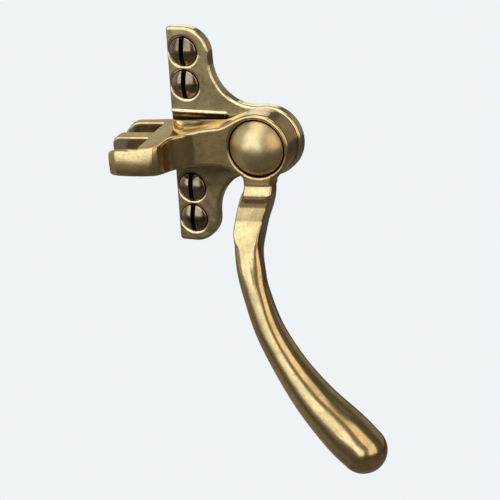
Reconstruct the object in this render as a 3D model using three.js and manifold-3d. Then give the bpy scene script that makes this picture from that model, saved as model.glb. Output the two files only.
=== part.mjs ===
// Cockspur casement fastener, antique brass: a screwed backplate, a cast handle that turns on a
// riveted pin, and a slotted nose (the cockspur) that enters a keep on the window frame.
//
// Millimetres, +Z up, +X right. The back of the plate lies in y = 0 and the viewer looks along +Y.
// The origin is on the line of the four screws, at mid height.

import * as THREE from 'three';
import { mergeVertices } from 'three/addons/utils/BufferGeometryUtils.js';
import Module from 'manifold-3d';

const wasm = await Module();
wasm.setup();

// ---------------------------------------------------------------- driving dimensions

const GAP = 0.3;                    // clearance between touching or turning pieces

// backplate
const PLATE_HEIGHT = 65;
const PLATE_THICK = 3.3;
const SCREW_INSET = 5;              // screw line to the plate's straight edge
const LOBE_EDGE = 8;                // screw line to the lobes' outer edge
const LOBE_RADIUS = 8;              // outer corner of each lobe
const FLANK_RADIUS = 13;            // hollow flank between a lobe and the round end
const END_RADIUS = 10.35;           // round end under the boss
const END_X = 24.75;                // its middle
const STRAIGHT_CORNER = 1;
const PLATE_BEVEL = 0.6;
const RECESS_HALF = 7;              // shallow recess across the middle
const RECESS_END = 13;
const RECESS_DEPTH = 0.5;

// screws: number 8 raised countersunk wood screws
const SCREW_HEIGHTS = { upper_outer: 25.3, upper_inner: 15.6, lower_inner: -15.6, lower_outer: -25.3 };
const SINK_RADIUS = 4.6;
const SCREW_HOLE = 2.5;
const HEAD_DOME = 1.2;
const SHANK_RADIUS = 2.1;
const CORE_RADIUS = 1.5;
const SCREW_LENGTH = 16;            // five eighths of an inch, from the plate's face to the point
const THREAD_PITCH = 1.8;
const SLOT_WIDTH = 1.3;
const SLOT_DEPTH = 1.4;

// handle
const PIVOT_X = 24.2;
const NOSE_DROP = THREE.MathUtils.degToRad(3);
const BOSS_RADIUS = 10.05;
const RING_RADIUS = 9.9;
const HANDLE_FRONT = 11.1;          // depth of the boss's face in front of the plate's back
const HANDLE_BACK = 5.2;            // the arm and nose clear the screw heads
const COUNTERBORE_RADIUS = 8.45;
const COUNTERBORE_FLOOR = 7.3;

// pivot
const PIN_RADIUS = 3.2;
const PIN_BORE = PIN_RADIUS + GAP;
const PIN_HEAD = 5.8;
const PEEN_RADIUS = 4.5;
const WASHER_RADIUS = 6.3;
const WASHER_THICK = 0.7;
const REAR_SINK_RADIUS = 5.6;
const REAR_SINK_DEPTH = 2;
const CAP_RADIUS = 8.1;
const CAP_EDGE = 10.6;
const CAP_HEIGHT = 4.4;

// ---------------------------------------------------------------- helpers

// A closed geometry as a manifold solid: shared corners are merged, collapsed triangles dropped,
// and a skin that faces inwards is turned round.
function solid(geometry) {
  for (const name of ['normal', 'uv']) geometry.deleteAttribute(name);
  const merged = mergeVertices(geometry, 1e-4);
  const corner = (i) => new THREE.Vector3().fromBufferAttribute(merged.attributes.position, i);
  const index = merged.index.array;
  const faces = [];
  let volume = 0;
  for (let i = 0; i < index.length; i += 3) {
    const [a, b, c] = [index[i], index[i + 1], index[i + 2]];
    if (a === b || b === c || c === a) continue;
    faces.push([a, b, c]);
    volume += corner(a).dot(corner(b).cross(corner(c)));
  }
  return new wasm.Manifold(new wasm.Mesh({
    numProp: 3,
    vertProperties: new Float32Array(merged.attributes.position.array),
    triVerts: new Uint32Array(faces.flatMap(([a, b, c]) => (volume < 0 ? [a, c, b] : [a, b, c]))),
  }));
}

function fromSolid(body) {
  const mesh = body.getMesh();
  const geometry = new THREE.BufferGeometry();
  geometry.setAttribute('position', new THREE.BufferAttribute(mesh.vertProperties, 3));
  geometry.setIndex(new THREE.BufferAttribute(mesh.triVerts, 1));
  geometry.computeVertexNormals();
  return geometry;
}

// A body turned about the Y axis from [radius, depth] points, depth counted from y = 0 to the front.
function turned(points, segments) {
  const profile = points.map(([radius, depth]) => new THREE.Vector2(radius, -depth));
  return solid(new THREE.LatheGeometry(profile, segments));
}

// A flat outline in x and z, as a prism between two depths, with its front edge rounded off.
function prism(shape, back, front, bevel, curveSegments) {
  const geometry = new THREE.ExtrudeGeometry(shape, {
    depth: front - back - bevel,
    bevelThickness: bevel,
    bevelSize: bevel,
    bevelOffset: -bevel,
    bevelSegments: 2,
    curveSegments,
  });
  geometry.rotateX(Math.PI / 2);    // the shape's y becomes z, and its depth runs towards -Y
  geometry.translate(0, -back, 0);
  const reach = 100;
  return solid(geometry).subtract(box([-reach, -back, -reach], [reach, -back + 2 * bevel, reach]));
}

function box(low, high) {
  const size = high.map((value, axis) => value - low[axis]);
  const geometry = new THREE.BoxGeometry(...size);
  geometry.translate(...low.map((value, axis) => value + size[axis] / 2));
  return solid(geometry);
}

// A skin over rings that all have the same number of points, closed by a fan at each end.
function loft(rings) {
  const count = rings[0].length;
  const points = rings.flat();
  const faces = [];
  for (let r = 0; r + 1 < rings.length; r += 1) {
    for (let i = 0; i < count; i += 1) {
      const a = r * count + i;
      const b = r * count + (i + 1) % count;
      faces.push(a, b, b + count, a, b + count, a + count);
    }
  }
  for (const [ring, first] of [[rings[0], 0], [rings.at(-1), (rings.length - 1) * count]]) {
    const middle = ring.reduce((sum, point) => sum.add(point), new THREE.Vector3()).divideScalar(count);
    points.push(middle);
    for (let i = 0; i < count; i += 1) {
      const a = first + i;
      const b = first + (i + 1) % count;
      if (first === 0) faces.push(points.length - 1, b, a);
      else faces.push(points.length - 1, a, b);
    }
  }
  const geometry = new THREE.BufferGeometry().setFromPoints(points);
  geometry.setIndex(faces);
  return solid(geometry);
}

// ---------------------------------------------------------------- backplate

function plateOutline() {
  const left = -SCREW_INSET;
  const top = PLATE_HEIGHT / 2;
  const flankX = LOBE_EDGE + FLANK_RADIUS;
  const flankZ = Math.sqrt((FLANK_RADIUS + END_RADIUS) ** 2 - (flankX - END_X) ** 2);
  const lean = Math.atan2(flankZ, flankX - END_X);      // from the end's middle towards the flank's centre
  const shape = new THREE.Shape();
  shape.moveTo(left, -top + STRAIGHT_CORNER);
  shape.absarc(left + STRAIGHT_CORNER, -top + STRAIGHT_CORNER, STRAIGHT_CORNER, Math.PI, 1.5 * Math.PI);
  shape.absarc(LOBE_EDGE - LOBE_RADIUS, -top + LOBE_RADIUS, LOBE_RADIUS, -Math.PI / 2, 0);
  shape.absarc(flankX, -flankZ, FLANK_RADIUS, Math.PI, Math.PI - lean, true);
  shape.absarc(END_X, 0, END_RADIUS, -lean, lean);
  shape.absarc(flankX, flankZ, FLANK_RADIUS, lean - Math.PI, -Math.PI, true);
  shape.absarc(LOBE_EDGE - LOBE_RADIUS, top - LOBE_RADIUS, LOBE_RADIUS, 0, Math.PI / 2);
  shape.absarc(left + STRAIGHT_CORNER, top - STRAIGHT_CORNER, STRAIGHT_CORNER, Math.PI / 2, Math.PI);
  return shape;
}

function backplate() {
  let plate = prism(plateOutline(), 0, PLATE_THICK, PLATE_BEVEL, 10);
  plate = plate.subtract(box(
    [-SCREW_INSET - 1, -PLATE_THICK - 1, -RECESS_HALF],
    [RECESS_END, -PLATE_THICK + RECESS_DEPTH, RECESS_HALF],
  ));
  const through = PLATE_THICK + 1;
  const sinkFloor = PLATE_THICK - (SINK_RADIUS - SCREW_HOLE);
  const hole = turned([
    [0, -1], [SCREW_HOLE, -1], [SCREW_HOLE, sinkFloor], [SINK_RADIUS, PLATE_THICK],
    [SINK_RADIUS, through], [0, through],
  ], 24);
  for (const height of Object.values(SCREW_HEIGHTS)) plate = plate.subtract(hole.translate([0, 0, height]));
  const bore = turned([
    [0, -1], [REAR_SINK_RADIUS, -1], [REAR_SINK_RADIUS, REAR_SINK_DEPTH],
    [PIN_BORE, REAR_SINK_DEPTH], [PIN_BORE, through], [0, through],
  ], 32);
  return plate.subtract(bore.translate([PIVOT_X, 0, 0]));
}

// ---------------------------------------------------------------- screws

function woodScrew() {
  const rim = SINK_RADIUS - GAP * Math.SQRT2;
  const dome = [];
  const domeSteps = 3;
  for (let i = 0; i <= domeSteps; i += 1) {
    const share = i / domeSteps;
    dome.push([rim * (1 - share), PLATE_THICK + HEAD_DOME * (1 - (1 - share) ** 2)]);
  }
  const threadStart = 6;            // behind the plate's face
  const point = 3;
  const ridges = [];
  for (let depth = SCREW_LENGTH - point; depth > threadStart; depth -= THREAD_PITCH) {
    ridges.push([CORE_RADIUS, PLATE_THICK - depth - THREAD_PITCH * 0.35]);
    ridges.push([SHANK_RADIUS, PLATE_THICK - depth]);
    ridges.push([CORE_RADIUS, PLATE_THICK - depth + THREAD_PITCH * 0.35]);
  }
  const body = turned([
    [0, PLATE_THICK - SCREW_LENGTH],
    ...ridges,
    [SHANK_RADIUS, PLATE_THICK - threadStart + 1],
    [SHANK_RADIUS, PLATE_THICK - (rim - SHANK_RADIUS)],
    ...dome,
  ], 16);
  const slotHalf = SLOT_WIDTH / 2;
  const slot = box(
    [-slotHalf, -PLATE_THICK - HEAD_DOME - 1, -SINK_RADIUS],
    [slotHalf, -PLATE_THICK - HEAD_DOME + SLOT_DEPTH, SINK_RADIUS],
  );
  return body.subtract(slot);
}

// ---------------------------------------------------------------- handle, in its own turned frame

// The nose is a blunt block whose top slopes down to the front. Its end draws in towards the front,
// and its rounded upper corner is large at the back and small at the front.
const NOSE_TIP = -43;
const NOSE_ROOT = -27;
const NOSE_BOTTOM = -5.3;
const NOSE_TOP_BACK = 7.5;
const NOSE_FALL = 0.268;            // how much the top falls for each unit of depth
const NOSE_STATIONS = [
  // depth, end, upper corner's radius, where it joins the arm
  [HANDLE_BACK, NOSE_TIP, 6.2, NOSE_ROOT],
  [8, NOSE_TIP, 5.9, NOSE_ROOT],
  [13, NOSE_TIP, 3.5, NOSE_ROOT],
  [16.2, NOSE_TIP, 2.4, NOSE_ROOT],
  [19.8, -42.4, 1.6, NOSE_ROOT],
  [22.2, -41.2, 1.2, -28],
  [23.1, -38.9, 1.1, -31.5],
];
const KEEP_SLOTS = [                // each slot's inner end slants, from backEnd to frontEnd
  { back: 7.7, front: 13, floor: 0.8, backEnd: -29.1, frontEnd: -30.4 },
  { back: 15.8, front: 21.6, floor: -1.2, backEnd: -30.6, frontEnd: -31.9 },
];

function nose() {
  return loft(NOSE_STATIONS.map(([depth, end, corner, root]) => {
    const top = NOSE_TOP_BACK - NOSE_FALL * (depth - HANDLE_BACK);
    const foot = 1.5;
    const ring = [[root, NOSE_BOTTOM], [root, top]];
    for (let i = 0; i <= 6; i += 1) {
      const angle = Math.PI / 2 * (1 + i / 6);
      ring.push([end + corner + corner * Math.cos(angle), top - corner + corner * Math.sin(angle)]);
    }
    for (let i = 0; i <= 3; i += 1) {
      const angle = Math.PI * (1 + i / 6);
      ring.push([end + foot + foot * Math.cos(angle), NOSE_BOTTOM + foot + foot * Math.sin(angle)]);
    }
    return ring.map(([x, z]) => new THREE.Vector3(x, -depth, z));
  }));
}

function keepSlot({ back, front, floor, backEnd, frontEnd }) {
  const outside = NOSE_TIP - 1;
  const ring = (z) => [
    new THREE.Vector3(outside, -front, z),
    new THREE.Vector3(frontEnd, -front, z),
    new THREE.Vector3(backEnd, -back, z),
    new THREE.Vector3(outside, -back, z),
  ];
  return loft([ring(floor), ring(NOSE_TOP_BACK + 4)]);
}

// The arm as cross-sections from the nose to the boss: the front face swings back in a hollow
// curve, and the top and bottom draw in towards the front.
const ARM_STATIONS = [
  // x, depth of the front, front top, front bottom, back top, back bottom
  [-30, 22.8, 2.6, -5.3, 7.3, -5.3],
  [-26.4, 21.5, 3.0, -5.3, 7.3, -5.6],
  [-25.3, 19.2, 3.4, -5.3, 7.3, -5.9],
  [-23.8, 15.6, 3.9, -5.3, 7.3, -6.2],
  [-21.2, 13.2, 4.4, -5.2, 7.3, -6.5],
  [-18.2, 11.6, 5.0, -5.2, 7.25, -6.7],
  [-14.5, 11.1, 5.6, -5.2, 7.25, -6.9],
  [-10.5, 11.1, 6.0, -5.7, 7.3, -7.4],
  [-7.0, 11.1, 7.0, -7.0, 7.9, -8.2],
  [-3.0, 11.1, 7.6, -7.6, 8.2, -8.4],
];

function arm() {
  return loft(ARM_STATIONS.map(([x, front, frontTop, frontBottom, backTop, backBottom]) => [
    new THREE.Vector3(x, -HANDLE_BACK, backTop),
    new THREE.Vector3(x, -HANDLE_BACK, backBottom),
    new THREE.Vector3(x, -front, frontBottom),
    new THREE.Vector3(x, -front, frontTop),
  ]));
}

const NECK_MIDDLE = -0.45;
const NECK_HALF = 4;

// The grip's centre line, from the ledge under the neck to the middle of the bulb, with its half
// width, half depth, how square its section is, and how far the section is turned to the right about
// the line, in degrees.
const GRIP_STATIONS = [
  // x, depth, z, half width, half depth, squareness, turn
  [-0.5, 8.7, -12.2, 4.1, 3.6, 6, 0],
  [-1.85, 8.85, -16, 4.4, 3.7, 6, 0],
  [-3.35, 9.2, -20, 4.3, 3.8, 6, 0],
  [-4.35, 10.7, -24.5, 4.15, 4.2, 6, 2],
  [-4.6, 12.8, -30, 4.05, 4.35, 4.5, 13],
  [-3.85, 14.3, -36, 4.15, 4.2, 3.4, 22],
  [-2.5, 15.4, -42.3, 4.0, 4.1, 2.8, 20],
  [1.1, 16.8, -53, 4.3, 4.35, 2.2, 11],
  [7.1, 17.9, -64, 5.05, 5.0, 2, 3],
  [14.2, 18.6, -74, 6.15, 6.0, 2, 0],
  [22.6, 19.2, -83, 7.3, 6.9, 2, 0],
  [27.6, 19.5, -88, 7.2, 6.9, 2, 0],
];
const GRIP_SIDES = 16;

function gripRing(centre, along, halfWidth, halfDepth, squareness, turn) {
  const side = new THREE.Vector3(-along.z, 0, along.x).normalize();
  const outward = new THREE.Vector3().crossVectors(along, side).normalize();
  const toRight = side.clone().applyAxisAngle(along, THREE.MathUtils.degToRad(-turn));
  const toFront = outward.clone().applyAxisAngle(along, THREE.MathUtils.degToRad(-turn));
  const ring = [];
  for (let i = 0; i < GRIP_SIDES; i += 1) {
    const angle = 2 * Math.PI * i / GRIP_SIDES;
    const cos = Math.cos(angle);
    const sin = Math.sin(angle);
    const width = halfWidth * Math.sign(cos) * Math.abs(cos) ** (2 / squareness);
    const depth = halfDepth * Math.sign(sin) * Math.abs(sin) ** (2 / squareness);
    ring.push(centre.clone().addScaledVector(toRight, width).addScaledVector(toFront, depth));
  }
  return ring;
}

function grip() {
  const line = new THREE.CatmullRomCurve3(
    GRIP_STATIONS.map(([x, depth, z]) => new THREE.Vector3(x, -depth, z)), false, 'centripetal',
  );
  const last = GRIP_STATIONS.length - 1;
  const rings = [];
  const perStation = 2;
  for (let i = 0; i <= last * perStation; i += 1) {
    const at = i / perStation;
    const from = Math.min(Math.floor(at), last - 1);
    const share = at - from;
    const mix = (column) => THREE.MathUtils.lerp(
      GRIP_STATIONS[from][column], GRIP_STATIONS[from + 1][column], share,
    );
    const along = line.getTangent(at / last);
    if (i === 0) along.set(0, 0, -1);
    rings.push(gripRing(line.getPoint(at / last), along, mix(3), mix(4), mix(5), mix(6)));
  }
  const [x, depth, z, halfWidth, halfDepth] = GRIP_STATIONS[last];
  const centre = new THREE.Vector3(x, -depth, z);
  const along = line.getTangent(1);
  for (const angle of [25, 48, 68, 83].map(THREE.MathUtils.degToRad)) {
    const cos = Math.cos(angle);
    const tip = centre.clone().addScaledVector(along, halfWidth * Math.sin(angle));
    rings.push(gripRing(tip, along, halfWidth * cos, halfDepth * cos, 2, 0));
  }
  return loft(rings);
}

function handle() {
  const bossBack = PLATE_THICK + GAP;
  const edge = 0.4;
  const boss = turned([
    [0, bossBack], [BOSS_RADIUS, bossBack], [RING_RADIUS, HANDLE_FRONT - edge],
    [RING_RADIUS - edge, HANDLE_FRONT], [0, HANDLE_FRONT],
  ], 44);
  const ledge = GRIP_STATIONS[0][2];
  const neck = box(
    [NECK_MIDDLE - NECK_HALF, -HANDLE_FRONT, ledge - GAP],
    [NECK_MIDDLE + NECK_HALF, -HANDLE_BACK, -BOSS_RADIUS / 2],
  );
  const spur = nose().add(arm());
  let casting = boss.add(spur).add(neck).add(grip());
  for (const slot of KEEP_SLOTS) casting = casting.subtract(keepSlot(slot));
  const springRecess = WASHER_RADIUS + GAP;
  const springFloor = 5.1;
  return casting.subtract(turned([
    [0, 1], [springRecess, 1], [springRecess, springFloor], [PIN_BORE, springFloor],
    [PIN_BORE, COUNTERBORE_FLOOR], [COUNTERBORE_RADIUS, COUNTERBORE_FLOOR],
    [COUNTERBORE_RADIUS, HANDLE_FRONT + 8], [0, HANDLE_FRONT + 8],
  ], 36));
}

// ---------------------------------------------------------------- pivot pieces, about their own axis

function pivotPin() {
  const peenFront = 0.6;
  const headBack = COUNTERBORE_FLOOR + WASHER_THICK + 2 * GAP;
  const headFront = headBack + 1.5;
  return turned([
    [0, 0.05], [PEEN_RADIUS - 0.3, 0.05], [PEEN_RADIUS, peenFront], [PIN_RADIUS, peenFront],
    [PIN_RADIUS, headBack], [PIN_HEAD, headBack], [PIN_HEAD, headFront - 0.4],
    [PIN_HEAD - 0.5, headFront], [0, headFront],
  ], 32);
}

function flatWasher(back, outer) {
  return turned([
    [PIN_BORE, back], [outer, back], [outer, back + WASHER_THICK], [PIN_BORE, back + WASHER_THICK],
    [PIN_BORE, back],
  ], 32);
}

// A wave washer: a thin ring with three waves.
function springWasher() {
  const inner = PIN_BORE + 0.1;
  const thick = 0.35;
  const rise = 0.3;
  const middle = PLATE_THICK + GAP + rise + thick / 2;
  const ring = new THREE.LatheGeometry([
    new THREE.Vector2(inner, -middle + thick / 2),
    new THREE.Vector2(inner, -middle - thick / 2),
    new THREE.Vector2(WASHER_RADIUS, -middle - thick / 2),
    new THREE.Vector2(WASHER_RADIUS, -middle + thick / 2),
    new THREE.Vector2(inner, -middle + thick / 2),
  ], 36);
  const position = ring.attributes.position;
  for (let i = 0; i < position.count; i += 1) {
    const angle = Math.atan2(position.getZ(i), position.getX(i));
    position.setY(i, position.getY(i) + rise * Math.cos(3 * angle));
  }
  return solid(ring);
}

function domeCap() {
  const sphere = (radius, height, base) => {
    const full = (radius ** 2 + height ** 2) / (2 * height);
    const steps = 5;
    const arc = [];
    for (let i = 0; i <= steps; i += 1) {
      const angle = Math.asin(radius / full) * (1 - i / steps);
      arc.push([full * Math.sin(angle), base + height - full * (1 - Math.cos(angle))]);
    }
    return arc;
  };
  const wall = 0.9;
  const skirtBack = COUNTERBORE_FLOOR + GAP;
  const outer = sphere(CAP_RADIUS, CAP_HEIGHT, CAP_EDGE);
  const inner = sphere(CAP_RADIUS - wall, CAP_HEIGHT - wall, CAP_EDGE).reverse();
  return turned([...inner, [CAP_RADIUS - wall, skirtBack], [CAP_RADIUS, skirtBack], ...outer], 36);
}

// ---------------------------------------------------------------- materials and assembly

const looks = {
  castBrass: { color: 0x9a8556, roughness: 0.38, metalness: 1 },
  plateBrass: { color: 0x93814f, roughness: 0.4, metalness: 1 },
  polishedBrass: { color: 0xb59a5c, roughness: 0.22, metalness: 1 },
  screwBronze: { color: 0x5a4a38, roughness: 0.3, metalness: 1 },
  pinBrass: { color: 0xa08a52, roughness: 0.4, metalness: 1 },
  springSteel: { color: 0x8a8a88, roughness: 0.35, metalness: 1 },
};

const part = new THREE.Group();

function add(group, name, body, look) {
  const mesh = new THREE.Mesh(fromSolid(body), new THREE.MeshStandardMaterial(looks[look]));
  mesh.name = name;
  group.add(mesh);
  return mesh;
}

add(part, 'backplate', backplate(), 'plateBrass');
for (const [place, height] of Object.entries(SCREW_HEIGHTS)) {
  add(part, `${place}_screw`, woodScrew(), 'screwBronze').position.z = height;
}

const pivot = new THREE.Group();
pivot.position.x = PIVOT_X;
part.add(pivot);
add(pivot, 'pivot_pin', pivotPin(), 'pinBrass');
const rearBack = REAR_SINK_DEPTH - GAP - WASHER_THICK;
add(pivot, 'rear_washer', flatWasher(rearBack, REAR_SINK_RADIUS - GAP), 'pinBrass');
add(pivot, 'thrust_washer', flatWasher(COUNTERBORE_FLOOR + GAP, WASHER_RADIUS), 'pinBrass');
add(pivot, 'spring_washer', springWasher(), 'springSteel');

const turning = new THREE.Group();
turning.rotation.y = -NOSE_DROP;
pivot.add(turning);
add(turning, 'handle', handle(), 'castBrass');
add(turning, 'dome_cap', domeCap(), 'polishedBrass');

export default part;
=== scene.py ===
"""Cockspur window handle in antique brass, screwed to its backplate.

Each piece is described as a signed distance field, in millimetres, and skinned with surface nets, so
that its fillets and hollows are real geometry. Fields take x to the right, depth towards the viewer
and z up, which is the row frame with Y turned round.
"""

import math

import bpy
import numpy as np
from mathutils import Matrix, Vector


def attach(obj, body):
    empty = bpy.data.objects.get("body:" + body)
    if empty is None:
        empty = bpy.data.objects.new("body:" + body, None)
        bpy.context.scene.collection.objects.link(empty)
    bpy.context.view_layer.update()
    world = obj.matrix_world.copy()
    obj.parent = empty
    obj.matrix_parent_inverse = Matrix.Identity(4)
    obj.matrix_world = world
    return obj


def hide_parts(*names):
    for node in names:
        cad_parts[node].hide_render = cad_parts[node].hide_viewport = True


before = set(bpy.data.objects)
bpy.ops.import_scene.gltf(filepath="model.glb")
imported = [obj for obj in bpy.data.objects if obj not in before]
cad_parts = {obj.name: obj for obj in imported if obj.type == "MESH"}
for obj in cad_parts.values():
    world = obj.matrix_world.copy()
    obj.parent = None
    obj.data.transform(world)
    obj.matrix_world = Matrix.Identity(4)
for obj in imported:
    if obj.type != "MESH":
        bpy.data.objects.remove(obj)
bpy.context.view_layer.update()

MM = 0.001

# ------------------------------------------------------------------ driving dimensions, as in the CAD

GAP = 0.3
PLATE_HEIGHT = 65
PLATE_THICK = 3.3
SCREW_INSET = 5
LOBE_EDGE = 8
LOBE_RADIUS = 8
FLANK_RADIUS = 13
END_RADIUS = 10.35
END_X = 24.75                        # middle of the plate's round end
STRAIGHT_CORNER = 1
PLATE_ROUND = 0.6
RECESS_HALF = 7.0
RECESS_END = 13
RECESS_DEPTH = 0.5
LIP_WIDTH = 0.55                     # a fine lip along the recess's edge
LIP_RISE = 0.22
LIP_FADE = 1.5                       # how far before the recess's end the lip starts to die away
MOUTH_ROUND = 0.2                    # at the mouths of the recess and of the screw holes

SCREW_HEIGHTS = {"upper_outer": 25.3, "upper_inner": 15.6, "lower_inner": -15.6, "lower_outer": -25.3}
SINK_RADIUS = 4.6
SCREW_HOLE = 2.5
HEAD_DOME = 1.2
HEAD_ROUND = 0.12
SHANK_RADIUS = 2.1
CORE_RADIUS = 1.5
SCREW_LENGTH = 16
SCREW_POINT = 3                      # length of the tapered point
THREAD_PITCH = 1.8
THREAD_START = 5.5                   # how far behind the plate's front face it starts
THREAD_RUN_IN = 1.5
THREAD_SHARPNESS = 1.6
DRIVE_SLOT_WIDTH = 1.3
DRIVE_SLOT_DEPTH = 1.4
DRIVE_SLOT_ROUND = 0.1

PIVOT_X = 24.2
NOSE_DROP = math.radians(3)
BOSS_RADIUS = 10.05
RING_RADIUS = 9.9
HANDLE_FRONT = 11.1
HANDLE_BACK = 5.2
BOSS_BACK = PLATE_THICK + GAP
COUNTERBORE_RADIUS = 8.45
COUNTERBORE_FLOOR = 7.3
COUNTERBORE_ROUND = 0.55
SPRING_FLOOR = 5.1

PIN_RADIUS = 3.2
PIN_BORE = PIN_RADIUS + GAP
PIN_HEAD = 5.8
PIN_HEAD_THICK = 1.5
PIN_HEAD_EDGE = 1.1                  # thickness of the head at its rim, behind the chamfer
PIN_HEAD_CHAMFER = 0.5
PEEN_RADIUS = 4.5
PEEN_BACK = 0.05
PEEN_FRONT = 0.6
WASHER_RADIUS = 6.3
WASHER_THICK = 0.7
SPRING_THICK = 0.35
SPRING_RISE = 0.3
SPRING_WAVES = 3
REAR_SINK_RADIUS = 5.6
REAR_SINK_DEPTH = 2
CAP_RADIUS = 8.1
CAP_EDGE = 10.6
CAP_HEIGHT = 4.4
CAP_WALL = 0.9

FINE_STEP = 0.3      # the skins' mesh size

# ------------------------------------------------------------------ distance fields

# A slanting face's field rises faster than the distance to it, so it is scaled by about the cosine of
# its slant.
SHANK_SLANT = 0.8
GRIP_FRONT_SLANT = 0.8
TOP_SLANT = 0.85
SLOT_END_SLANT = 0.97


def course(at, places_and_values):
    """The value at a place, on straight lines between a table's rows of place and value."""
    return np.interp(at, *np.array(places_and_values, float).T)


def cut_round(a, b, radius):
    """What is inside both a and b, with the edge where they meet rounded."""
    inner = np.minimum(-radius, np.maximum(a, b))
    return inner + np.hypot(np.maximum(a + radius, 0), np.maximum(b + radius, 0))


def join_round(a, b, radius):
    """What is inside a or b, with a fillet in the corner between them."""
    outer = np.maximum(radius, np.minimum(a, b))
    return outer - np.hypot(np.maximum(radius - a, 0), np.maximum(radius - b, 0))


def between(value, low, high):
    return np.maximum(low - value, value - high)


def softly(at, places, values, reach):
    """Values between the places, with the corners where they change course eased over the reach."""
    return sum(np.interp(at + shift, places, values) for shift in np.linspace(-reach, reach, 5)) / 5


def outline_distance(u, v, corners):
    """Signed distance to a closed outline, negative inside."""
    best = np.full(np.shape(u), np.inf)
    inside = np.zeros(np.shape(u), bool)
    for (u0, v0), (u1, v1) in zip(corners, corners[1:] + corners[:1]):
        along_u, along_v = u1 - u0, v1 - v0
        from_u, from_v = u - u0, v - v0
        share = (from_u * along_u + from_v * along_v) / (along_u**2 + along_v**2)
        share = np.clip(share, 0, 1)
        best = np.minimum(best, (from_u - share * along_u) ** 2 + (from_v - share * along_v) ** 2)
        crosses = (v0 > v) != (v1 > v)
        inside ^= crosses & (from_u < from_v * along_u / (along_v or 1))
    return np.where(inside, -1, 1) * np.sqrt(best)


def spline(points, per_span):
    """A smooth line through the points, which may have any number of columns."""
    points = np.array(points, float)
    padded = np.vstack([2 * points[0] - points[1], points, 2 * points[-1] - points[-2]])
    line = []
    for p0, p1, p2, p3 in zip(padded, padded[1:], padded[2:], padded[3:]):
        for t in np.arange(per_span) / per_span:
            line.append(0.5 * (2 * p1 + (p2 - p0) * t + (2 * p0 - 5 * p1 + 4 * p2 - p3) * t**2
                               + (3 * p1 - p0 - 3 * p2 + p3) * t**3))
    return np.array([*line, points[-1]])


# ------------------------------------------------------------------ skins

BLOCK = 4                # the field is first sampled once for each block of this many steps a side
NEAR_BLOCKS = 1.6        # and in full where it is nearer to the surface than this many blocks
BLOCKS_AT_ONCE = 4000


def sampled(field, low, counts, step):
    """The field on a grid, worked out only in the blocks that its surface may pass through."""
    blocks = [math.ceil(n / BLOCK) for n in counts]
    middles = [lo + (np.arange(n) * BLOCK + (BLOCK - 1) / 2) * step for lo, n in zip(low, blocks)]
    coarse = field(*[axis.ravel() for axis in np.meshgrid(*middles, indexing="ij")]).reshape(blocks)
    sign = np.where(coarse > 0, 1.0, -1.0)[:, None, :, None, :, None]
    grid = np.broadcast_to(sign, [n for b in blocks for n in (b, BLOCK)]).astype(np.float32)
    near = np.argwhere(np.abs(coarse) < NEAR_BLOCKS * BLOCK * step)
    offsets = np.indices((BLOCK,) * 3).reshape(3, -1)
    for some in np.array_split(near, max(1, len(near) // BLOCKS_AT_ONCE)):
        at = (some[:, :, None] * BLOCK + offsets).transpose(1, 0, 2).reshape(3, -1)
        values = field(*(np.array(low)[:, None] + at * step))
        grid[some[:, 0], :, some[:, 1], :, some[:, 2], :] = values.reshape(-1, BLOCK, BLOCK, BLOCK)
    return grid.reshape([b * BLOCK for b in blocks])


def surface_net(grid, low, step):
    """One vertex in each cell that the surface crosses, and one quad for each grid edge it crosses."""
    inside = grid < 0
    shifts = np.array([(i, j, k) for i in (0, 1) for j in (0, 1) for k in (0, 1)])
    size = np.array(grid.shape) - 1
    within = sum(
        inside[i:i + size[0], j:j + size[1], k:k + size[2]].astype(np.int8) for i, j, k in shifts
    )
    cells = np.argwhere((within > 0) & (within < 8))
    number = np.full(size, -1)
    number[tuple(cells.T)] = np.arange(len(cells))
    values = [grid[tuple((cells + shift).T)] for shift in shifts]
    total = np.zeros((len(cells), 3))
    hits = np.zeros(len(cells))
    for a in range(8):
        for b in range(a + 1, 8):
            if np.abs(shifts[a] - shifts[b]).sum() != 1:
                continue
            crossed = (values[a] < 0) != (values[b] < 0)
            share = np.where(crossed, values[a] / np.where(crossed, values[a] - values[b], 1), 0)
            total += crossed[:, None] * (shifts[a] + share[:, None] * (shifts[b] - shifts[a]))
            hits += crossed
    points = np.array(low) + (cells + total / hits[:, None]) * step
    quads = []
    for axis in range(3):
        one, two = np.eye(3, dtype=int)[(axis + 1) % 3], np.eye(3, dtype=int)[(axis + 2) % 3]
        here = np.take(inside, range(size[axis]), axis)
        edges = np.argwhere(here != np.take(inside, range(1, size[axis] + 1), axis))
        ring = np.stack([number[tuple((edges - back).T)] for back in (0 * one, one, one + two, two)], 1)
        starts_inside = here[tuple(edges.T)]
        quads.append(np.where(starts_inside[:, None], ring, ring[:, ::-1]))
    return points, np.concatenate(quads)


def slope(field, points, reach=0.02):
    """The field's gradient at each point."""
    columns = []
    for axis in np.eye(3) * reach:
        columns.append((field(*(points + axis).T) - field(*(points - axis).T)) / (2 * reach))
    return np.stack(columns, 1)


def settled(field, points, quads, step, rounds=3):
    """The vertices evened out along the surface, and then moved exactly onto it."""
    for _ in range(rounds):
        total = np.zeros_like(points)
        count = np.bincount(quads.ravel(), minlength=len(points)) * 2
        for corner in range(4):
            for other in (quads[:, corner - 1], quads[:, (corner + 1) % 4]):
                for axis in range(3):
                    total[:, axis] += np.bincount(quads[:, corner], points[other, axis], len(points))
        points = 0.5 * points + 0.5 * total / count[:, None]
        for _ in range(2):
            gradient = slope(field, points)
            move = field(*points.T)[:, None] * gradient / (gradient**2).sum(1, keepdims=True).clip(0.05)
            points = points - move.clip(-step / 2, step / 2)
    return points


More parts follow.
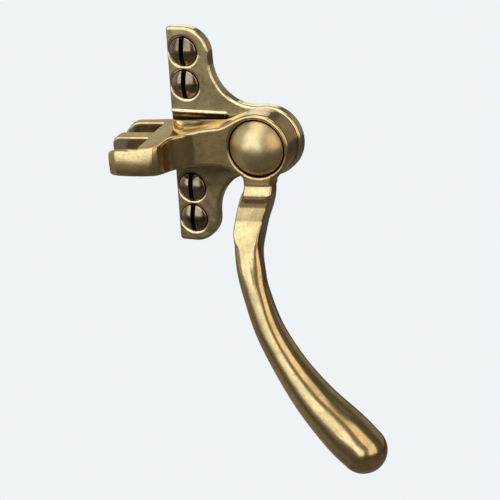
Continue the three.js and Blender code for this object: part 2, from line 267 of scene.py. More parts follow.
def mesh_from(name, points, faces):
    """A mesh in metres in the row frame, from millimetres with depth towards the viewer."""
    points = np.asarray(points, float) * (MM, -MM, MM)
    mesh = bpy.data.meshes.new(name)
    mesh.from_pydata(points.tolist(), [], [list(face)[::-1] for face in np.asarray(faces).tolist()])
    mesh.validate()
    mesh.shade_smooth()
    return mesh


def skin(name, field, low, high, step=FINE_STEP):
    """The field's surface inside the box from low to high, as a mesh."""
    margin = 3 * step
    low = [value - margin for value in low]
    counts = [math.ceil((top + margin - bottom) / step) + 1 for bottom, top in zip(low, high)]
    points, quads = surface_net(sampled(field, low, counts, step), low, step)
    return mesh_from(name, settled(field, points, quads, step), quads)


def local_points(mesh):
    """The mesh's vertices as x, depth and z in millimetres."""
    points = np.empty(len(mesh.vertices) * 3)
    mesh.vertices.foreach_get("co", points)
    return (points.reshape(-1, 3) / (MM, -MM, MM)).T


def mark(mesh, name, values, kind="FLOAT"):
    """Stores a value for each vertex, for the mesh's material to read."""
    field = "vector" if kind == "FLOAT_VECTOR" else "value"
    mesh.attributes.new(name, kind, "POINT").data.foreach_set(field, np.ravel(values).astype(np.float32))


def turned(name, profile, segments=128):
    """A mesh turned about the depth axis from a closed profile of (radius, depth) points."""
    profile = np.array(profile, float)
    angles = np.arange(segments) * 2 * math.pi / segments
    points, rings = [], []
    for radius, depth in profile:
        if radius < 1e-6:
            rings.append([len(points)] * segments)
            points.append((0, depth, 0))
            continue
        rings.append(list(range(len(points), len(points) + segments)))
        points += [(radius * math.cos(a), depth, radius * math.sin(a)) for a in angles]
    faces = []
    closed = profile[0, 0] > 1e-6
    pairs = list(zip(rings, rings[1:] + rings[:1])) if closed else list(zip(rings, rings[1:]))
    for inner, outer in pairs:
        for i in range(segments):
            j = (i + 1) % segments
            face = [inner[i], inner[j], outer[j], outer[i]]
            face = [v for k, v in enumerate(face) if v != face[k - 1]]
            if len(face) > 2:
                faces.append(face)
    return mesh_from(name, points, np.array(faces, dtype=object))


def eased(profile, radius=0.15, steps=3):
    """The profile with each corner off the axis rounded."""
    profile = [np.array(p, float) for p in profile]
    closed = profile[0][0] > 1e-6
    made = []
    for i, corner in enumerate(profile):
        ends = i in (0, len(profile) - 1)
        if corner[0] < 1e-6 or (ends and not closed):
            made.append(corner)
            continue
        before, after = profile[i - 1], profile[(i + 1) % len(profile)]
        reach_in = min(radius, 0.45 * np.linalg.norm(before - corner))
        reach_out = min(radius, 0.45 * np.linalg.norm(after - corner))
        start = corner + (before - corner) / np.linalg.norm(before - corner) * reach_in
        end = corner + (after - corner) / np.linalg.norm(after - corner) * reach_out
        for t in np.linspace(0, 1, steps + 1):
            made.append((1 - t) ** 2 * start + 2 * t * (1 - t) * corner + t**2 * end)
    return made


# ------------------------------------------------------------------ backplate


def arc(centre, radius, start, end, steps=12):
    """Points along an arc, from the start angle to the end angle in degrees."""
    angles = np.radians(np.linspace(start, end, steps))
    return [(centre[0] + radius * math.cos(a), centre[1] + radius * math.sin(a)) for a in angles]


def plate_outline():
    """Two lobes down the left side, drawn in by hollow flanks to the round end under the pivot."""
    left, top = -SCREW_INSET, PLATE_HEIGHT / 2
    flank_x = LOBE_EDGE + FLANK_RADIUS
    flank_z = math.sqrt((FLANK_RADIUS + END_RADIUS) ** 2 - (flank_x - END_X) ** 2)
    lean = math.degrees(math.atan2(flank_z, flank_x - END_X))
    upper = [
        *arc((END_X, 0), END_RADIUS, 0, lean, 20),
        *arc((flank_x, flank_z), FLANK_RADIUS, lean - 180, -180, 16),
        *arc((LOBE_EDGE - LOBE_RADIUS, top - LOBE_RADIUS), LOBE_RADIUS, 0, 90),
        *arc((left + STRAIGHT_CORNER, top - STRAIGHT_CORNER), STRAIGHT_CORNER, 90, 180, 5),
    ]
    lower = [(x, -z) for x, z in reversed(upper[1:])]
    kept = [upper[0]]
    for point in upper[1:] + lower:
        if math.dist(point, kept[-1]) > 0.05:
            kept.append(point)
    return kept


PLATE_OUTLINE = plate_outline()


def backplate_field(x, depth, z):
    edge = outline_distance(x, z, PLATE_OUTLINE)
    lip = (1 - ((np.abs(z) - RECESS_HALF - LIP_WIDTH) / LIP_WIDTH) ** 2).clip(0) ** 2
    lip *= ((RECESS_END - x) / LIP_FADE).clip(0, 1)
    body = np.maximum(cut_round(edge, depth - PLATE_THICK - LIP_RISE * lip, PLATE_ROUND), -depth)
    recess = np.maximum(np.abs(z) - RECESS_HALF, x - RECESS_END)
    recess = np.maximum(recess, PLATE_THICK - RECESS_DEPTH - depth)
    body = cut_round(body, -recess, MOUTH_ROUND)
    for height in SCREW_HEIGHTS.values():
        radius = np.hypot(x, z - height)
        cone = (radius - SINK_RADIUS + PLATE_THICK - depth) / math.sqrt(2)
        body = cut_round(body, -np.minimum(radius - SCREW_HOLE, cone), MOUTH_ROUND)
    radius = np.hypot(x - PIVOT_X, z)
    bore = np.minimum(radius - PIN_BORE, np.maximum(radius - REAR_SINK_RADIUS, depth - REAR_SINK_DEPTH))
    return np.maximum(body, -bore)


# ------------------------------------------------------------------ screws


def screw_field(x, depth, z):
    """A raised countersunk slotted wood screw about the depth axis, with a real helical thread."""
    radius = np.hypot(x, z)
    behind = PLATE_THICK - depth
    rim = SINK_RADIUS - GAP * math.sqrt(2)
    ball = (rim**2 + HEAD_DOME**2) / (2 * HEAD_DOME)
    dome = np.sqrt(radius**2 + (depth - PLATE_THICK - HEAD_DOME + ball) ** 2) - ball
    cone = (radius - rim + behind) / math.sqrt(2)
    head = cut_round(cone, dome, HEAD_ROUND)
    taper = np.clip((SCREW_LENGTH - behind) / SCREW_POINT, 0, 1)
    turn = behind / THREAD_PITCH - np.arctan2(z, x) / (2 * math.pi)
    ridge = 1 - 2 * np.abs(turn - np.round(turn)) * THREAD_SHARPNESS
    run_in = np.clip((behind - THREAD_START) / THREAD_RUN_IN, 0, 1)
    thread = CORE_RADIUS + (SHANK_RADIUS - CORE_RADIUS) * ridge.clip(0, 1)
    shank = radius - taper * (SHANK_RADIUS + (thread - SHANK_RADIUS) * run_in)
    shank = np.maximum(shank * SHANK_SLANT, np.maximum(behind - SCREW_LENGTH, 0.5 - behind))
    slot_floor = PLATE_THICK + HEAD_DOME - DRIVE_SLOT_DEPTH
    slot = np.maximum(np.abs(x) - DRIVE_SLOT_WIDTH / 2, slot_floor - depth)
    return cut_round(np.minimum(head, shank), -slot, DRIVE_SLOT_ROUND)


# ------------------------------------------------------------------ handle

NOSE_TIP = -43
NOSE_SHOULDER = 16.2
NOSE_CORNER = [(5.2, 6.2), (8, 5.9), (13, 3.5), (16.2, 2.4), (20.2, 1.5), (23, 1.1)]   # depth, radius
NOSE_LOWER_CORNER = 1.6
NOSE_TOP_BACK = 7.5
NOSE_FALL = 0.268                    # how much the nose's top falls for each unit of depth
NOSE_CROWN = 0.6                     # how far its front bulges between its top and bottom
CROWN_MIDDLE = -2.4                  # height
CROWN_HALF = 5.2
CROWN_START = -25                    # it grows from this x to the left, and from this depth forwards
CROWN_DEPTH = 16
CROWN_FADE = 4
# Each slot's back, front and floor, and where its slanting inner end lies at the back and front.
KEEP_SLOTS = ((7.7, 13, 0.8, -29.1, -30.4), (15.8, 21.6, -1.2, -30.6, -31.9))
SLOT_CORNER = 0.5
SLOT_MOUTH_ROUND = 0.3

# The spur seen from above: its front swings back in a hollow curve from the nose to the boss.
SPUR_PLAN = [
    (14, HANDLE_BACK), (NOSE_TIP, HANDLE_BACK), (NOSE_TIP, NOSE_SHOULDER), (-42.4, 19.8), (-41.2, 22.2),
    (-38.8, 22.95), (-34.5, 23.2), (-31.2, 23.0), (-28.6, 22.5), (-27.1, 21.9), (-26.1, 20.9),
    *[tuple(p) for p in spline(
        [(-25.4, 19.4), (-24.3, 16.4), (-22.4, 13.9), (-20, 12.2), (-17.6, 11.35), (-15, HANDLE_FRONT)], 4)],
    (14, HANDLE_FRONT),
]

# Along the arm: x, front depth, height of the front and back top edges, of the front and back bottom
# edges.
ARM_EDGES = np.array([
    (-45, 22.8, 2.9, 7.4, -5.2, -5.3),
    (-26.6, 22.0, 3.0, 7.4, -5.2, -5.6),
    (-25.2, 19.0, 3.3, 7.35, -5.2, -5.9),
    (-23.8, 15.6, 3.8, 7.3, -5.2, -6.2),
    (-21.2, 13.0, 4.4, 7.3, -5.2, -6.5),
    (-18.2, 11.6, 5.0, 7.25, -5.2, -6.7),
    (-14.5, 11.1, 5.6, 7.25, -5.2, -6.9),
    (-10.5, 11.1, 6.0, 7.25, -5.5, -7.2),
    (-6.0, 11.1, 6.2, 7.3, -5.7, -7.4),
    (12, 11.1, 6.2, 7.3, -5.7, -7.4),
])
ARM_END = 2                          # inside the boss
ARM_EASING = 1                       # how far the corners of its top edge's course are eased
ARM_FILLET = 3.2                     # where it meets the boss
# The bowl in the arm's top: how much its floor falls towards the front, and how far its left and back
# walls reach in.
BOWL_FALL = 0.15
BOWL_DEPTHS = (-1, 7)                # how far in front of the arm and behind its front the fall goes on
BOWL_LEFT = 4.6
BOWL_BACK = 4.0
BOWL_CURVE = 2.4                     # how hollow the walls are
NOSE_TOP_END = [(5.2, -27.9), (10, -25.3), (13, -24.2), (18.9, -25.3), (22.4, -26.3)]     # depth, x
NOSE_END_EASING = 1.5
# The rounding of the spur's front edges along x, and of its back edges by depth.
FRONT_EDGE_ROUND = [(-41, 1.3), (-33, 1.1), (-27, 0.7), (-24, 0.45), (-12, 0.45), (-8, 0.8)]
BACK_EDGE_ROUND = [(6.5, 0.8), (8, 0)]
PAD_DEPTH = 1.5                      # the boss's pad runs from its back to this far behind its front
PAD_ROUND = 0.3

NECK_MIDDLE = -0.45
NECK_HALF = 4.0
NECK_FOOT = -11.3
NECK_FILLET = 1.6
NECK_LEAN = 0.15                     # how much the neck's front comes forward on its way down
LEAN_TOP = -8.6
LEAN_HEIGHT = 4
LEAN_DEPTH = 9                       # only what is nearer to the viewer than this leans
LEAN_FADE = 2
LEDGE_TOP = -6
LEDGE_ENDS = (-4.6, 3.9)
LEDGE_FOOT = [(1.5, -15.0), (3.9, -13.4)]            # x, height: its lower right corner is cut off
LEDGE_BACK = 8.5
LEDGE_ROUND = 0.5
LEDGE_FILLET = 0.7                   # between the ledge and the grip
GRIP_FILLET = 0.5                    # between the grip and the boss

# The grip's middle line with its half width, half depth, how square its section is, and how far the
# section is turned about the line, to the right, in degrees.
GRIP = spline([
    # x, depth, z, half width, half depth, squareness, turn
    (-0.5, 9.9, -9.5, 4.0, 4.8, 6, 0),
    (-0.75, 9.85, -13, 4.1, 4.7, 6, 0),
    (-1.85, 9.8, -16, 4.4, 4.6, 6, 0),
    (-3.35, 10.2, -20, 4.3, 4.6, 6, 0),
    (-4.35, 11.2, -24.5, 4.15, 4.6, 6, 2),
    (-4.6, 12.8, -30, 4.05, 4.35, 4.5, 13),
    (-3.85, 14.3, -36, 4.15, 4.2, 3.4, 22),
    (-2.5, 15.4, -42.3, 4.0, 4.1, 2.8, 20),
    (1.1, 16.8, -53, 4.3, 4.35, 2.2, 11),
    (7.1, 17.9, -64, 5.05, 5.0, 2, 3),
    (14.2, 18.6, -74, 6.15, 6.0, 2, 0),
    (22.6, 19.2, -83, 7.3, 6.85, 2, 0),
    (27.6, 19.5, -88, 7.2, 6.8, 2, 0),
], 16)
GRIP_TOP = -5
GRIP_CAP = 7.1                       # how far the bulb's rounded end reaches past the last point
LEFT_SQUARENESS = [(-28, 2.2), (-23.5, 6)]           # z, and the most that the left half's can be
# The front of the neck and grip, from the side: neck, sloping ledge, flat and the start of the swell.
GRIP_FRONT = np.array([
    (0, HANDLE_FRONT), (-11.1, 11.3), (-13.3, 12.4), (-17.0, 12.6), (-21.2, 13.15), (-24.5, 14.9),
    (-30, 17.6), (-36, 30), (-120, 60),
])
GRIP_FRONT_ROUND = 0.4
ACROSS_SHARE = 0.35                  # how far x counts beside z in the first guess at a place on the grip

_steps = np.linalg.norm(np.diff(GRIP[:, :3], axis=0), axis=1)
GRIP_LENGTH = np.concatenate([[0], np.cumsum(_steps)])
GRIP_ALONG = np.gradient(GRIP[:, :3], GRIP_LENGTH, axis=0)
GRIP_ALONG /= np.linalg.norm(GRIP_ALONG, axis=1, keepdims=True)


def at_length(table, length):
    """The table's columns at lengths along the grip."""
    return np.stack([np.interp(length, GRIP_LENGTH, column) for column in table.T])


def on_grip(x, depth, z):
    """Where points lie on the grip: its row there, and their offsets along, across and out from it."""
    point = np.stack([x, depth, z])
    rows = -GRIP[:, 2] + ACROSS_SHARE * GRIP[:, 0]
    length = np.interp(-z + ACROSS_SHARE * x, rows, GRIP_LENGTH)
    for _ in range(4):
        offset = point - at_length(GRIP[:, :3], length)
        length = length + (offset * at_length(GRIP_ALONG, length)).sum(0)
        length = length.clip(0, GRIP_LENGTH[-1])
    row = at_length(GRIP, length)
    along = at_length(GRIP_ALONG, length)
    offset = point - row[:3]
    flat = np.hypot(along[0], along[2])
    side = np.stack([-along[2] / flat, 0 * flat, along[0] / flat])
    outward = np.cross(side, along, axis=0)
    return row, length, *[(offset * way).sum(0) for way in (along, side, outward)]


def past_grip_front(depth, z):
    """Distance past the flattened front of the neck and grip."""
    return (depth - course(z, GRIP_FRONT[::-1])) * GRIP_FRONT_SLANT


def grip_field(x, depth, z):
    row, _, ahead, across, out = on_grip(x, depth, z)
    square, turn = row[5], np.radians(row[6])
    across, out = across * np.cos(turn) - out * np.sin(turn), out * np.cos(turn) + across * np.sin(turn)
    square = np.where(across < 0, np.minimum(square, course(z, LEFT_SQUARENESS)), square)
    ratio = (np.abs(across / row[3]) ** square + np.abs(out / row[4]) ** square) ** (1 / square)
    ratio = np.hypot(ratio, np.maximum(ahead, 0) / GRIP_CAP)
    reach = np.sqrt(ahead**2 + across**2 + out**2)
    # The limits only keep the field finite near the middle line.
    body = (ratio - 1) * np.maximum(reach, 1) / np.maximum(ratio, 0.25)
    return cut_round(body, past_grip_front(depth, z), GRIP_FRONT_ROUND)


def spur_top(x, depth, z):
    """Height above the spur's top: a flat slope on the nose and a hollow bowl along the arm."""
    front, top_front = [softly(x, ARM_EDGES[:, 0], ARM_EDGES[:, column], ARM_EASING) for column in (1, 2)]
    back = depth - HANDLE_BACK
    flat = NOSE_TOP_BACK - NOSE_FALL * back
    floor = top_front + BOWL_FALL * (front - depth).clip(*BOWL_DEPTHS)
    end = softly(depth, *np.array(NOSE_TOP_END).T, NOSE_END_EASING)
    left_wall = (1 - (x - end) / BOWL_LEFT).clip(0, 1) ** BOWL_CURVE
    back_wall = (1 - back / BOWL_BACK).clip(0, 1) ** BOWL_CURVE
    wall = 1 - (1 - left_wall) * (1 - back_wall)
    rim = np.maximum(flat, floor)
    return (z - np.where(x < end, flat, floor + (rim - floor) * wall)) * TOP_SLANT


def handle_field(x, depth, z):
    """The handle about its own pivot axis, before it is turned."""
    radius = np.hypot(x, z)
    cone = (RING_RADIUS - BOSS_RADIUS) / (HANDLE_FRONT - BOSS_BACK)
    boss_side = radius - (BOSS_RADIUS + cone * (depth - BOSS_BACK))

    top = cut_round(spur_top(x, depth, z), NOSE_TIP - x, course(depth, NOSE_CORNER))
    front, low_front, low_back = [np.interp(x, ARM_EDGES[:, 0], ARM_EDGES[:, c]) for c in (1, 4, 5)]
    share = ((depth - HANDLE_BACK) / (front - HANDLE_BACK)).clip(-0.2, 1.2)
    bottom = low_back + (low_front - low_back) * share - z
    bottom = cut_round(bottom, NOSE_TIP - x, NOSE_LOWER_CORNER)
    band = np.maximum(np.maximum(top, bottom), x - ARM_END)
    outline = join_round(boss_side, band, ARM_FILLET)
    neck = np.maximum(np.abs(x - NECK_MIDDLE) - NECK_HALF, z)
    outline = join_round(outline, np.maximum(neck, NECK_FOOT - z), NECK_FILLET)
    crown = NOSE_CROWN * ((z - CROWN_MIDDLE) / CROWN_HALF) ** 2
    crown *= ((CROWN_START - x) / CROWN_FADE).clip(0, 1) * ((depth - CROWN_DEPTH) / CROWN_FADE).clip(0, 1)
    lean = NECK_LEAN * (LEAN_TOP - z).clip(0, LEAN_HEIGHT) * ((depth - LEAN_DEPTH) / LEAN_FADE).clip(0, 1)
    plan = outline_distance(x, depth - lean + crown, SPUR_PLAN)
    edge = np.maximum(course(x, FRONT_EDGE_ROUND), course(depth, BACK_EDGE_ROUND))
    body = cut_round(outline, plan, edge)
    pad = cut_round(boss_side, between(depth, BOSS_BACK, HANDLE_FRONT - PAD_DEPTH), PAD_ROUND)
    body = np.minimum(body, pad)

    low = z < GRIP_TOP
    grip = np.full(np.shape(x), 20.0)        # far from the grip everywhere above its top
    grip[low] = grip_field(x[low], depth[low], z[low])
    shelf = np.maximum(between(x, *LEDGE_ENDS), z - LEDGE_TOP)
    foot = (course(x, LEDGE_FOOT) - z) * TOP_SLANT
    ledge = cut_round(np.maximum(shelf, LEDGE_BACK - depth), foot, LEDGE_ROUND)
    ledge = cut_round(ledge, past_grip_front(depth, z), GRIP_FRONT_ROUND)
    body = join_round(body, join_round(ledge, grip, LEDGE_FILLET), GRIP_FILLET)

    for back, ahead, floor, end_back, end_front in KEEP_SLOTS:
        slot = cut_round(between(depth, back, ahead), floor - z, SLOT_CORNER)
        end = end_back + (end_front - end_back) * (depth - back) / (ahead - back)
        body = cut_round(body, -np.maximum(slot, (x - end) * SLOT_END_SLANT), SLOT_MOUTH_ROUND)

    counterbore = np.maximum(radius - COUNTERBORE_RADIUS, COUNTERBORE_FLOOR - depth)
    body = cut_round(body, -counterbore, COUNTERBORE_ROUND)
    spring = np.maximum(radius - WASHER_RADIUS - GAP, depth - SPRING_FLOOR)
    return np.maximum(body, -np.minimum(spring, radius - PIN_BORE))


# ------------------------------------------------------------------ turned pieces


def dome_profile(radius, height, base, steps):
    """Part of a circle from its rim to the axis."""
    full = (radius**2 + height**2) / (2 * height)
    widest = math.asin(radius / full)
    angles = [widest * (1 - i / steps) for i in range(steps + 1)]
    return [(max(full * math.sin(a), 0), base + height - full * (1 - math.cos(a))) for a in angles]


def cap_profile():
    back = COUNTERBORE_FLOOR + GAP
    outer = dome_profile(CAP_RADIUS, CAP_HEIGHT, CAP_EDGE, 40)
    inner = dome_profile(CAP_RADIUS - CAP_WALL, CAP_HEIGHT - CAP_WALL, CAP_EDGE, 24)[::-1]
    return [*inner, (CAP_RADIUS - CAP_WALL, back), (CAP_RADIUS, back), *outer]


def pin_profile():
    head_back = COUNTERBORE_FLOOR + WASHER_THICK + 2 * GAP
    head_front = head_back + PIN_HEAD_THICK
    peen_rise = PEEN_FRONT - PEEN_BACK
    peen = [
        (PEEN_RADIUS * math.sin(a), PEEN_FRONT - peen_rise * math.cos(a))
        for a in np.linspace(0, math.pi / 2, 8)
    ]
    return [
        (0, PEEN_BACK), *peen[1:], (PIN_RADIUS, PEEN_FRONT), (PIN_RADIUS, head_back), (PIN_HEAD, head_back),
        (PIN_HEAD, head_back + PIN_HEAD_EDGE), (PIN_HEAD - PIN_HEAD_CHAMFER, head_front), (0, head_front),
    ]


def washer_profile(back, outer, inner=PIN_BORE, thick=WASHER_THICK):
    return [(inner, back), (outer, back), (outer, back + thick), (inner, back + thick)]


def wave(mesh, rise, waves):
    """Bends a flat ring about the depth axis into waves."""
    for vertex in mesh.vertices:
        vertex.co.y -= rise * MM * math.cos(waves * math.atan2(vertex.co.z, vertex.co.x))
    return mesh


# ------------------------------------------------------------------ materials


class Nodes:
    """A node tree with a short way to add a node and wire its inputs."""

    def __init__(self, owner):
        owner.use_nodes = True
        self.tree = owner.node_tree

    def add(self, kind, **inputs):
        settings = {key[1:]: inputs.pop(key) for key in list(inputs) if key.startswith("_")}
        node = self.tree.nodes.new(kind)
        for key, value in settings.items():
            setattr(node, key, value)
        for key, value in inputs.items():
            self.wire(node, key.replace("__", " "), value)
        return node

    def wire(self, node, key, value):
        socket = node.inputs[int(key[1:])] if key[0] == "i" and key[1:].isdigit() else node.inputs[key]
        if isinstance(value, bpy.types.NodeSocket):
            self.tree.links.new(value, socket)
        else:
            socket.default_value = value

    def math(self, operation, a, b=0.0, clamp=False):
        node = self.add("ShaderNodeMath", _operation=operation, i0=a, i1=b, _use_clamp=clamp)
        return node.outputs[0]

    def noise(self, place, scale, detail=3.0, rough=0.55):
        node = self.add("ShaderNodeTexNoise", Vector=place, Scale=scale, Detail=detail, Roughness=rough)
        return node.outputs["Fac"]

    def attribute(self, name, output="Fac"):
        return self.add("ShaderNodeAttribute", _attribute_name=name).outputs[output]

    def step(self, value, start, end):
        """Rises smoothly from 0 at start to 1 at end."""
        node = self.add("ShaderNodeMapRange", _interpolation_type="SMOOTHSTEP", Value=value)
        node.inputs["From Min"].default_value = start
        node.inputs["From Max"].default_value = end
        return node.outputs[0]

    def mix(self, share, a, b, blend="MIX"):
        node = self.add("ShaderNodeMix", _data_type="RGBA", _blend_type=blend, Factor=share, i6=a, i7=b)
        return node.outputs[2]


# Greyer, darker brass for the painted shade inside the handle's keep slots.
SLOT_SHADE_BRASS = (0.44, 0.37, 0.26, 1)
WORN_COPPER = (0.72, 0.42, 0.27, 1)
# Near black for inside the screw slots: dark patina with painted shade.
SLOT_PATINA_AND_SHADE = (0.012, 0.010, 0.008, 1)


def metal(name, bright, dark, rough, streaks=0.02, waviness=0.02, patina=0.6, specks=0.5, grain=False,
          over=()):
    """Aged brass: mottled patina, darker hollows, sparse bright specks, waviness and fine streaks.

    Noise scales are per metre. Over lists the attributes that lay one more colour on top.
    """
    material = bpy.data.materials.new(name)
    n = Nodes(material)
    shader = n.tree.nodes["Principled BSDF"]
    place = n.add("ShaderNodeTexCoord").outputs["Object"]
    along = n.attribute("grain", "Vector") if grain else place
    clouds = n.noise(place, 170, 5, 0.62)            # patches of patina
    spots = n.noise(place, 750, 4, 0.65)             # small dark spots
    brushed = n.noise(along, 2600, 3, 0.6)           # streaks, along the grain where there is one
    shade = n.math("ADD", n.math("MULTIPLY", n.step(clouds, 0.36, 0.66), 0.75),
                   n.math("MULTIPLY", n.step(brushed, 0.35, 0.65), 0.25))
    base = n.mix(n.math("MULTIPLY", shade, patina), (*bright, 1), (*dark, 1))
    base = n.mix(n.math("MULTIPLY", n.step(spots, 0.5, 0.7), 0.5), base, (*dark, 1))
    cells = n.add("ShaderNodeTexVoronoi", Vector=place, Scale=520)
    chosen = n.add("ShaderNodeSeparateColor", Color=cells.outputs["Color"]).outputs[0]
    speck = n.math("MULTIPLY", n.step(cells.outputs["Distance"], 0.11, 0.06), n.step(chosen, 0.85, 0.87))
    base = n.mix(n.math("MULTIPLY", speck, specks), base, (*[min(1, c * 1.6) for c in bright], 1))
    hollow = n.add("ShaderNodeAmbientOcclusion", Distance=0.0012, _samples=6).outputs["AO"]
    patina_and_shade = (*[c * 0.3 for c in dark], 1)
    base = n.mix(n.math("MULTIPLY", n.step(hollow, 0.75, 0.2), 0.5), base, patina_and_shade)
    # Where marked, darker towards a deep brown: painted shade under the handle's arm and in the screw slots,
    # with tarnish and patina there too.
    base = n.mix(n.attribute("grime"), base, patina_and_shade)
    # Painted shade: where marked, the keep slots' insides turn greyer and darker.
    base = n.mix(n.attribute("dull"), base, SLOT_SHADE_BRASS)
    for attribute, colour in over:
        base = n.mix(n.attribute(attribute), base, colour)
    n.wire(shader, "Base Color", base)
    n.wire(shader, "Metallic", 1.0)
    level = n.math("ADD", n.math("MULTIPLY", clouds, 0.16), n.math("MULTIPLY", brushed, 0.12))
    n.wire(shader, "Roughness", n.math("ADD", level, rough - 0.14))
    waves = n.noise(place, 130, 2, 0.5)
    wavy = n.add("ShaderNodeBump", Height=waves, Distance=0.001, Strength=waviness)
    scored = n.add("ShaderNodeBump", Height=brushed, Distance=0.0001, Strength=streaks,
                   Normal=wavy.outputs[0])
    n.wire(shader, "Normal", scored.outputs[0])
    return material


CAST = metal("cast_brass", (0.68, 0.49, 0.24), (0.35, 0.235, 0.105), 0.18, 0.08, 0.06, grain=True)
PLATE = metal("plate_brass", (0.80, 0.64, 0.36), (0.42, 0.31, 0.155), 0.17, 0.02, 0.3)
POLISHED = metal("polished_brass", (0.68, 0.52, 0.27), (0.46, 0.33, 0.15), 0.36, 0.03, 0.25)
# Dark bronze, worn to copper at the rim, and painted near black in the slot: dark patina with painted shade.
BRONZE = metal("screw_bronze", (0.36, 0.26, 0.17), (0.10, 0.072, 0.045), 0.15, 0.03, 0.12, 0.9, 0.3,
               over=[("worn", WORN_COPPER), ("grime", SLOT_PATINA_AND_SHADE)])
TURNED = metal("pin_brass", (0.64, 0.52, 0.28), (0.48, 0.38, 0.2), 0.3)
STEEL = metal("spring_steel", (0.52, 0.52, 0.51), (0.4, 0.4, 0.4), 0.28, patina=0.3)

# ------------------------------------------------------------------ assembly

at_pivot = Matrix.Translation((PIVOT_X * MM, 0, 0))
turned_down = at_pivot @ Matrix.Rotation(-NOSE_DROP, 4, "Y")


def place(mesh, node, body, slot, material, matrix=at_pivot):
    """Shows the mesh instead of a CAD node, on the body that the node rides on."""
    if mesh.users == 0:
        mesh.transform(matrix)
        matrix = Matrix.Identity(4)
    piece = bpy.data.objects.new(f"{node}_piece", mesh)
    bpy.context.scene.collection.objects.link(piece)
    piece.matrix_world = matrix
    if not mesh.materials:
        mesh.materials.append(material)
    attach(piece, body)
    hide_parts(node)
    return piece


FIXED, TURNING = "backplate_assembly", "turning_handle"

# Painted shade on the plate under the arm, and tarnish where the arm covers it, by z, and how far past the
# recess's end it dies away.
ARM_SHADE_AND_TARNISH = [(-19, 0), (-10, 0.9), (6.9, 0.6), (7.1, 0)]
ARM_SHADE_AND_TARNISH_FADE = 4
# The screws' worn rim, by radius.
WORN_RIM = [(3.75, 0), (4.1, 0.8)]
# The grain's stretch along the arm and along the grip, and the heights between which it turns.
ARM_STRETCH = 0.3
GRIP_STRETCH = 0.05
GRIP_GRAIN = [(-14, 1), (-10, 0)]
# The keep slots' insides, painted greyer and darker as painted shade, by how far they are below the nose's
# top.
SLOT_SHADE_LEVELS = [(0.35, 0), (0.9, 0.8)]
SLOT_MARGIN = 0.15
SLOT_MARK_END = -28

plate_mesh = skin("backplate_skin", backplate_field, (-5, 0, -32.5), (35, 3.3, 32.5))
x, depth, z = local_points(plate_mesh)
on_front = depth > PLATE_THICK - RECESS_DEPTH - 0.1
under_arm = course(z, ARM_SHADE_AND_TARNISH) * course(x, [(RECESS_END, 1), (RECESS_END + ARM_SHADE_AND_TARNISH_FADE, 0)])
# Painted shade on the plate under the arm, and tarnish on the band behind it.
mark(plate_mesh, "grime", under_arm * on_front)
place(plate_mesh, "backplate", FIXED, "plate_brass", PLATE, Matrix.Identity(4))

screw_mesh = skin("screw_skin", screw_field, (-4.4, -12.8, -4.4), (4.4, 4.6, 4.4), FINE_STEP * 0.6)
x, depth, z = local_points(screw_mesh)
radius = np.hypot(x, z)
mark(screw_mesh, "worn", course(radius, WORN_RIM) * (depth > 2))
# The slot's inside, painted near black: dark patina with painted shade.
in_slot = (np.abs(x) < DRIVE_SLOT_WIDTH / 2 + 0.05) & (depth < PLATE_THICK + HEAD_DOME - 0.2)
mark(screw_mesh, "grime", in_slot * (radius < 4.2) * (depth > 2.5))
for screw, height in SCREW_HEIGHTS.items():
    spot = Matrix.Translation((0, 0, height * MM))
    place(screw_mesh.copy(), f"{screw}_screw", FIXED, "screw_bronze", BRONZE, spot)

handle_mesh = skin("handle_skin", handle_field, (-43, 3.4, -96), (36, 27, 11))
x, depth, z = local_points(handle_mesh)
_, length, _, across, out = on_grip(x, depth, z)
on_arm = np.stack([x * ARM_STRETCH, depth, z])
grain = on_arm + (np.stack([length * GRIP_STRETCH, across, out]) - on_arm) * course(z, GRIP_GRAIN)
mark(handle_mesh, "grain", grain.T * MM, "FLOAT_VECTOR")
in_keep_slot = np.zeros(len(x), bool)
for slot_back, slot_front, *_ in KEEP_SLOTS:
    in_keep_slot |= between(depth, slot_back - SLOT_MARGIN, slot_front + SLOT_MARGIN) < 0
below_top = NOSE_TOP_BACK - NOSE_FALL * (depth - HANDLE_BACK) - z
# Painted shade inside the keep slots, below their rounded mouths.
mark(handle_mesh, "dull", course(below_top, SLOT_SHADE_LEVELS) * (in_keep_slot & (x < SLOT_MARK_END)))
place(handle_mesh, "handle", TURNING, "cast_brass", CAST, turned_down)
cap_mesh = turned("cap_skin", eased(cap_profile(), 0.2))
place(cap_mesh, "dome_cap", TURNING, "polished_brass", POLISHED, turned_down)

pin_mesh = turned("pin_skin", eased(pin_profile()))
place(pin_mesh, "pivot_pin", FIXED, "pin_brass", TURNED)
rear = washer_profile(REAR_SINK_DEPTH - GAP - WASHER_THICK, REAR_SINK_RADIUS - GAP)
place(turned("rear_washer_skin", eased(rear)), "rear_washer", FIXED, "pin_brass", TURNED)
thrust = washer_profile(COUNTERBORE_FLOOR + GAP, WASHER_RADIUS)
place(turned("thrust_washer_skin", eased(thrust)), "thrust_washer", FIXED, "pin_brass", TURNED)
spring = washer_profile(BOSS_BACK + SPRING_RISE, WASHER_RADIUS, PIN_BORE + 0.1, SPRING_THICK)
spring_mesh = wave(turned("spring_washer_skin", eased(spring, 0.08)), SPRING_RISE, SPRING_WAVES)
place(spring_mesh, "spring_washer", FIXED, "spring_steel", STEEL)

# ------------------------------------------------------------------ floor, light and camera

PALE = (0.863, 0.896, 0.922)

bpy.ops.mesh.primitive_plane_add(size=6, location=(0, 0, -0.22))
floor = bpy.context.object
floor.name = "floor"
floor_paint = bpy.data.materials.new("pale_floor")
n = Nodes(floor_paint)
glow = n.add("ShaderNodeEmission", Color=(*PALE, 1))
n.tree.links.new(glow.outputs[0], n.tree.nodes["Material Output"].inputs["Surface"])
floor.data.materials.append(floor_paint)
floor.visible_glossy = False
floor.visible_diffuse = False
floor.visible_shadow = False

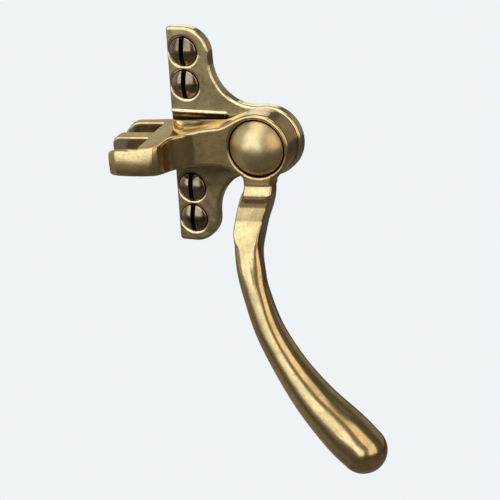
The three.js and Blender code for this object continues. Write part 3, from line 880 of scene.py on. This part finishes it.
# The studio: soft windows and walls around the object. Azimuth is 0 in front of it and grows to the
# right, and elevation is up from level, in degrees. Each has a radiance and a colour.
WALL = (0.95, 1.0, 0.98)
FLOOR = (1.0, 0.93, 0.82)
STUDIO = [
    # azimuths, elevations, softness, radiance, colour
    ((-400, 400), (-200, -28), 20, 0.14, FLOOR),
    ((-400, 400), (-30, -8), 12, 0.09, FLOOR),
    ((-150, -50), (-50, -8), 16, 0.12, FLOOR),
    ((-60, 12), (-19, -6), 5, 0.15, FLOOR),
    ((-400, 400), (-6, 200), 8, 0.13, WALL),
    ((-52, 17), (-7, 55), 6, 1.8, (0.88, 1.0, 1.08)),
    ((17, 40), (-9, 50), 4, 0.12, (1.0, 0.62, 0.38)),
    ((38, 80), (-5, 48), 6, 1.25, (1.0, 0.92, 0.8)),
    ((-112, -58), (-14, 44), 12, 0.45, WALL),
    ((-152, -112), (2, 60), 10, 0.45, (1.0, 1.0, 0.96)),
    ((-174, -151), (2, 30), 6, 1.1, (1.0, 1.0, 0.98)),
    ((100, 175), (56, 78), 8, 1.3, (1.0, 1.0, 0.98)),
    ((128, 172), (-6, 30), 10, 0.16, (1.0, 0.9, 0.75)),
    ((-85, 38), (52, 200), 10, 0.9, (1.0, 1.0, 0.98)),
    ((-400, 400), (64, 200), 12, 0.75, (1.0, 1.0, 0.98)),
]

world = bpy.data.worlds.new("studio")
bpy.context.scene.world = world
n = Nodes(world)
facing = n.add("ShaderNodeTexCoord").outputs["Generated"]
x, y, z = n.add("ShaderNodeSeparateXYZ", Vector=facing).outputs
azimuth = n.math("MULTIPLY", n.math("ARCTAN2", x, n.math("MULTIPLY", y, -1.0)), 180 / math.pi)
elevation = n.math("MULTIPLY", n.math("ARCSINE", z), 180 / math.pi)
smudges = n.math("MULTIPLY_ADD", n.noise(facing, 2.2, 3, 0.6), 1.3)
smudges.node.inputs[2].default_value = 0.35
room = (0, 0, 0, 1)
for azimuths, elevations, soft, radiance, colour in STUDIO:
    share = n.math("MULTIPLY", smudges, radiance)
    for value, (start, end) in ((azimuth, azimuths), (elevation, elevations)):
        share = n.math("MULTIPLY", share, n.step(value, start - soft / 2, start + soft / 2))
        share = n.math("MULTIPLY", share, n.step(value, end + soft / 2, end - soft / 2))
    lit = n.add("ShaderNodeVectorMath", _operation="SCALE", i0=colour, Scale=share).outputs[0]
    room = n.mix(1.0, room, lit, "ADD")
seen = n.add("ShaderNodeLightPath").outputs["Is Camera Ray"]
n.wire(n.tree.nodes["Background"], "Color", n.mix(seen, room, (*PALE, 1)))

CAMERA_AZIMUTH = math.radians(22.73)
CAMERA_ELEVATION = math.radians(20.75)
CAMERA_ROLL = math.radians(-3.21)
CAMERA_DISTANCE = 0.420
CAMERA_LENS = 100.8
CAMERA_TARGET = Vector((0.01613, 0, -0.03537))

back = Vector((
    math.sin(CAMERA_AZIMUTH) * math.cos(CAMERA_ELEVATION),
    -math.cos(CAMERA_AZIMUTH) * math.cos(CAMERA_ELEVATION),
    math.sin(CAMERA_ELEVATION),
))
level_right = (-back).cross(Vector((0, 0, 1))).normalized()
level_up = back.cross(level_right)
right = level_right * math.cos(CAMERA_ROLL) + level_up * math.sin(CAMERA_ROLL)
up = level_up * math.cos(CAMERA_ROLL) - level_right * math.sin(CAMERA_ROLL)
camera = bpy.data.objects.new("camera", bpy.data.cameras.new("camera"))
bpy.context.scene.collection.objects.link(camera)
camera.data.lens = CAMERA_LENS
camera.data.sensor_width = 36
camera.data.clip_start, camera.data.clip_end = 0.01, 20
turn = Matrix((right, up, back)).transposed().to_4x4()
camera.matrix_world = Matrix.Translation(CAMERA_TARGET + back * CAMERA_DISTANCE) @ turn
bpy.context.scene.camera = camera

bpy.context.scene.view_settings.view_transform = "Standard"
